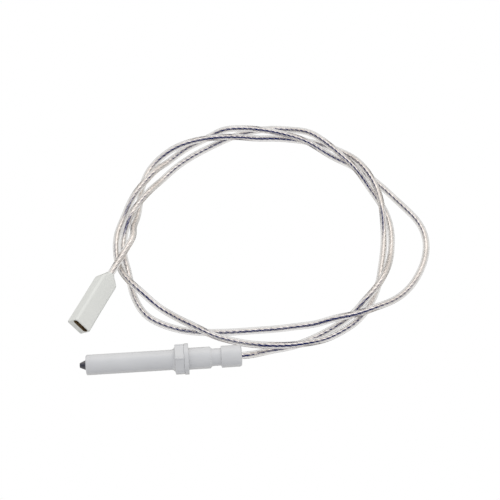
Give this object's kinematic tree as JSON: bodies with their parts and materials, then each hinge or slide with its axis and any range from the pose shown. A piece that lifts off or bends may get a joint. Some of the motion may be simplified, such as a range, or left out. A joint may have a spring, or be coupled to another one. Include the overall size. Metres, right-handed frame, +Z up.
{
  "type": "ignition electrode",
  "caption": "Ceramic spark electrode for a gas burner with a clear-jacketed high-voltage lead in a loose coil and a booted tab receptacle.",
  "frame": {"origin": "on the insulator's axis, at the front face of the locating hexagon", "axes": "+X along the insulator's axis from the spark tip towards the lead, +Z up; everything rests on the plane z = -5 mm"},
  "size_m": [0.1243, 0.1088, 0.0102],
  "materials": {
    "ceramic": "glazed",
    "pin_alloy": "oxidised",
    "cement": "matte",
    "ferrule_steel": "plated",
    "clear_silicone": "clear gloss",
    "tinned_copper": "bright stranded",
    "brass": "satin",
    "boot_silicone": "translucent semi-matte"
  },
  "bodies": {
    "lead": {"coil_jacket": "clear_silicone", "coil_conductor": "tinned_copper"},
    "plug": {"ceramic_insulator": "ceramic", "electrode_pin": "pin_alloy", "nose_seal": "cement", "crimp_ferrule": "ferrule_steel", "rear_potting": "cement", "plug_tail_jacket": "clear_silicone", "plug_tail_conductor": "tinned_copper"},
    "terminal": {"terminal_tail_jacket": "clear_silicone", "terminal_tail_conductor": "tinned_copper", "tab_receptacle": "brass"},
    "boot": {"terminal_boot": "boot_silicone"}
  },
  "joints": [
    {"name": "plug_swing", "type": "hinge", "parent": "lead", "child": "plug", "pos_m": [0.0269, 0.00175, -0.00195], "axis": [0, 0, 1], "range_deg": [0, 60]},
    {"name": "terminal_swing", "type": "hinge", "parent": "lead", "child": "terminal", "pos_m": [-0.01408, 0.04901, -0.0007], "axis": [0, 0, 1], "range_deg": [-28, 0]},
    {"name": "boot_slide", "type": "slide", "parent": "terminal", "child": "boot", "axis": [0.454, 0.891, 0], "range_m": [0, 0.004]}
  ]
}
